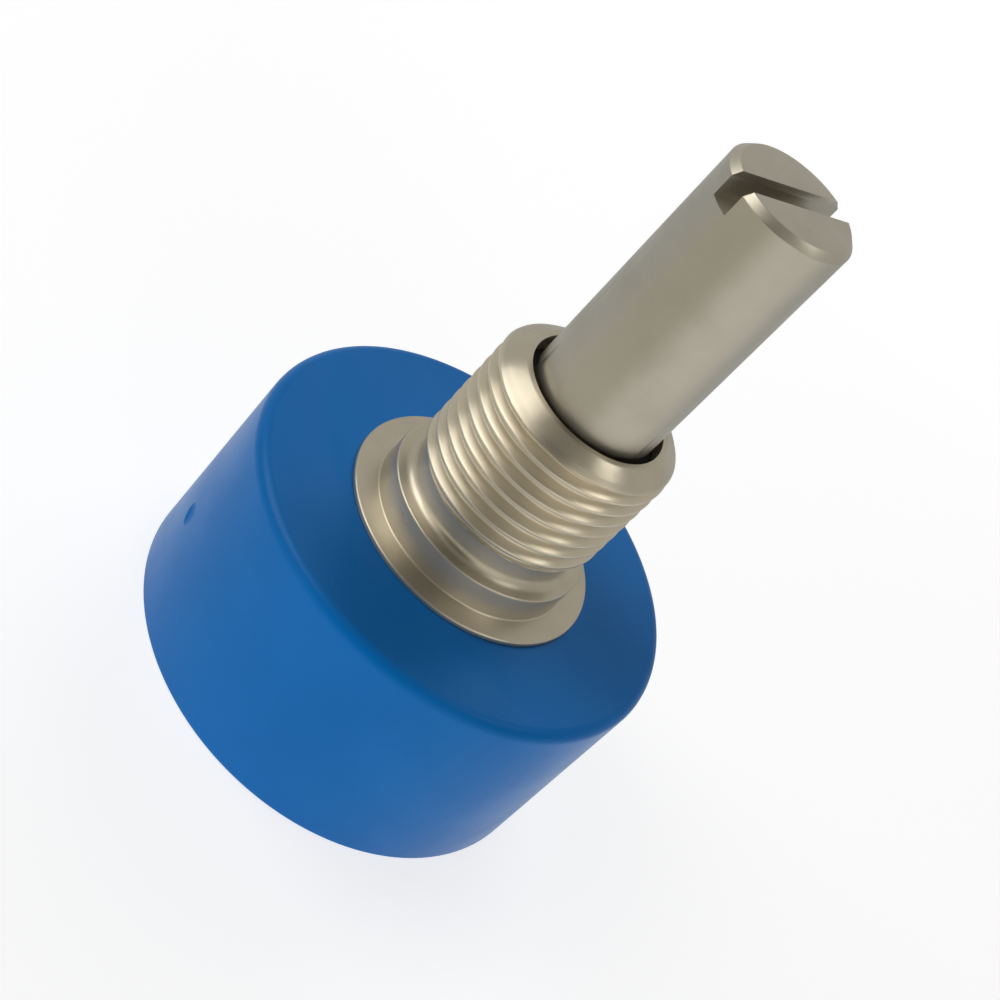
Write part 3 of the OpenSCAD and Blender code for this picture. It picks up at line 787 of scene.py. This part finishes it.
class SetStage(bpy.types.Operator):
    """Camera, white floor and soft studio light"""
    bl_idname = "pot.stage"
    bl_label = "Stage"

    def execute(self, context):
        st = settings("stage")
        self.camera(context.scene, st)
        self.floor(st)
        self.sky(context.scene, st)
        for name, turn, tilt, away, size, power in (("left_softbox", 181, 49, 0.2, 0.142, 0.135),
                                                    ("right_softbox", 14, 58, 0.2, 0.06, 0.03)):
            self.lamp(name, turn, tilt, away, size, power, (1, 0.96, 0.89)).visible_diffuse = False
        for name, turn, tilt, away, power in (("left_light", 187, 50, 0.2, 0.125),
                                              ("back_light", 90, 45, 0.2, 0.128),
                                              ("left_fill", -130, 5, 0.33, 0.15),
                                              ("right_fill", -50, 5, 0.33, 0.31)):
            self.lamp(name, turn, tilt, away, 0.12, power, (1, 1, 1)).visible_glossy = False
        context.scene.view_settings.view_transform = "Standard"
        return {"FINISHED"}

    @staticmethod
    def camera(scene, st):
        bpy.ops.object.camera_add()
        camera = bpy.context.object
        camera.name = "photo_camera"
        camera.matrix_world = (Matrix.Translation((0, st.camera_y, st.camera_z))
                               @ Matrix.Rotation(math.radians(90) - st.camera_tilt, 4, "X")
                               @ Matrix.Rotation(st.camera_roll, 4, "Z"))
        camera.data.lens, camera.data.sensor_width = st.lens, 36
        camera.data.clip_start, camera.data.clip_end = MM, 20
        scene.camera = camera

    @staticmethod
    def floor(st):
        deselect()
        bpy.ops.mesh.primitive_plane_add(size=st.floor_size, location=(0, 0, -0.02 * MM))
        floor = bpy.context.object
        floor.name = "floor"
        material = bpy.data.materials.new("white_floor")
        finish = Finish(material)
        tone = 0.97 + 0.03 * finish.noise(0.02, 2)
        right = finish.contrast(finish.towards((0.87, -0.5, 0)), 0.45, 1)
        front = finish.contrast(finish.towards((0, -1, 0)), 0, 0.8)
        far = finish.contrast(finish.distance(), 0.028, 0.038)
        shades = finish.blend(front, st.floor_back, st.floor_front)
        shades = finish.blend(far, st.floor_near, finish.blend(right, shades, st.floor_right))
        metal = finish.glow(shades)

        def paper(white, glow):
            face = finish.node("BsdfDiffuse", inputs={
                "Color": finish.blend(tone, (0, 0, 0), (white,) * 3)})
            return finish.node("AddShader", inputs={0: face, 1: finish.glow(glow)})

        away = finish.contrast(finish.distance(), 0.06, 0.2)
        seen = finish.blend(away, (0.78,) * 3, (1, 1, 1))
        shader = finish.by_ray(paper(st.floor_white, (st.floor_glow,) * 3), metal,
                               paper(0.4, seen))
        finish.node("OutputMaterial", inputs={"Surface": shader})
        floor.data.materials.append(material)

    @staticmethod
    def sky(scene, st):
        world = scene.world or bpy.data.worlds.new("studio")
        scene.world = world
        finish = Finish(world)
        top = finish.contrast(finish.towards((0.2, 0, 0.98)), 0.79, 0.9)
        front = finish.contrast(finish.towards((0, -0.82, 0.57)), 0.84, 0.95)
        sides = finish.contrast(finish.towards((0, -1, 0)), 0, 0.5)
        metal = finish.blend(top, finish.blend(sides, st.room, st.room_sides), st.room_top)
        metal = finish.blend(front, metal, st.room_front)

        def even(shade):
            return finish.node("Background", inputs={"Color": opaque(shade)})

        shader = finish.by_ray(even(st.sky), even(metal), even((1, 1, 1)))
        finish.node("OutputWorld", inputs={"Surface": shader})

    @staticmethod
    def lamp(name, turn, tilt, away, size, power, shade):
        """A square softbox that points at the middle of the part."""
        deselect()
        way = Matrix.Rotation(math.radians(turn), 3, "Z") @ Vector(
            (math.cos(math.radians(tilt)), 0, math.sin(math.radians(tilt))))
        middle = Vector((0, 0, 14 * MM))
        bpy.ops.object.light_add(type="AREA", location=middle + away * way)
        lamp = bpy.context.object
        lamp.name = name
        lamp.data.size, lamp.data.energy, lamp.data.color = size, power, shade
        lamp.rotation_euler = way.to_track_quat("Z", "Y").to_euler()
        lamp.visible_camera = False
        return lamp


class PotPanel(bpy.types.Panel):
    """Lists the pieces and their sizes"""
    bl_idname = "POT_PT_pieces"
    bl_label = "Precision Potentiometer"
    bl_space_type = "VIEW_3D"
    bl_region_type = "UI"
    bl_category = "Potentiometer"

    def draw(self, context):
        for operator in OPERATORS:
            self.layout.operator(operator.bl_idname)
        for group, kind in GROUPS.items():
            box = self.layout.box()
            box.label(text=group.replace("_", " ").title())
            for name in kind.__annotations__:
                box.prop(settings(group), name)


GROUPS = {"housing": HousingSizes, "bushing": BushingSizes, "shaft": ShaftSizes,
          "lugs": LugSizes, "stage": StageSizes}
OPERATORS = (MakeHousing, MakeRearCover, MakeBushing, MakeShaft, MakeLugs, FinishInside, SetStage)


def register():
    for cls in (*GROUPS.values(), *OPERATORS, PotPanel):
        bpy.utils.register_class(cls)
    for group, kind in GROUPS.items():
        setattr(bpy.types.Scene, "pot_" + group, PointerProperty(type=kind))


def unregister():
    for group in GROUPS:
        delattr(bpy.types.Scene, "pot_" + group)
    for cls in reversed((*GROUPS.values(), *OPERATORS, PotPanel)):
        bpy.utils.unregister_class(cls)


def main():
    register()
    bpy.ops.pot.housing()
    bpy.ops.pot.rear_cover()
    bpy.ops.pot.bushing()
    bpy.ops.pot.shaft()
    bpy.ops.pot.lugs()
    bpy.ops.pot.inside()
    bpy.ops.pot.stage()


if __name__ == "__main__":
    main()
